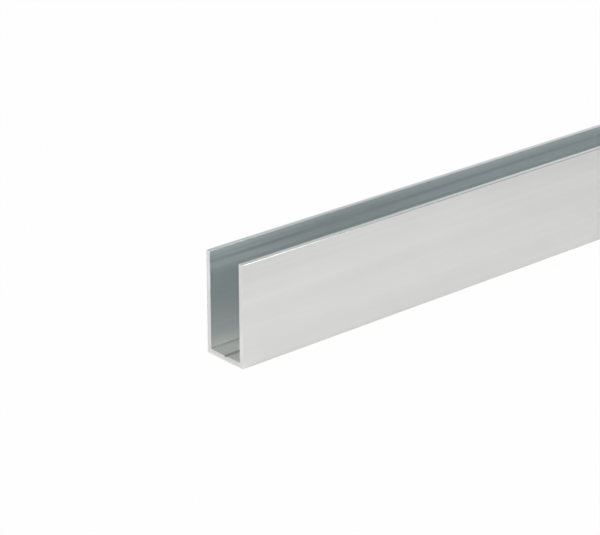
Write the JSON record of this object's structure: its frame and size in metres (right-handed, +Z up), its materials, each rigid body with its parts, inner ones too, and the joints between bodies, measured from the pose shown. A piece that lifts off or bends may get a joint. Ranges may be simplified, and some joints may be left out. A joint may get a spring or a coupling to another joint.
{
  "type": "aluminium u-channel",
  "caption": "Straight extruded aluminium U-channel with square saw-cut ends and a shallow V groove along the inside of its web that guides drilling. Holds the edge of a panel or pane.",
  "frame": {"origin": "middle of the web's underside, half way along the bar", "axes": "+X along the bar, +Y across the web from flange to flange, +Z up out of the channel's open side"},
  "size_m": [1, 0.02, 0.04],
  "materials": {
    "mill_aluminium": "mill finish as extruded: satin, with fine die lines along the length and finely sawn ends"
  },
  "bodies": {
    "root": {"u_channel": "mill_aluminium"}
  },
  "joints": []
}
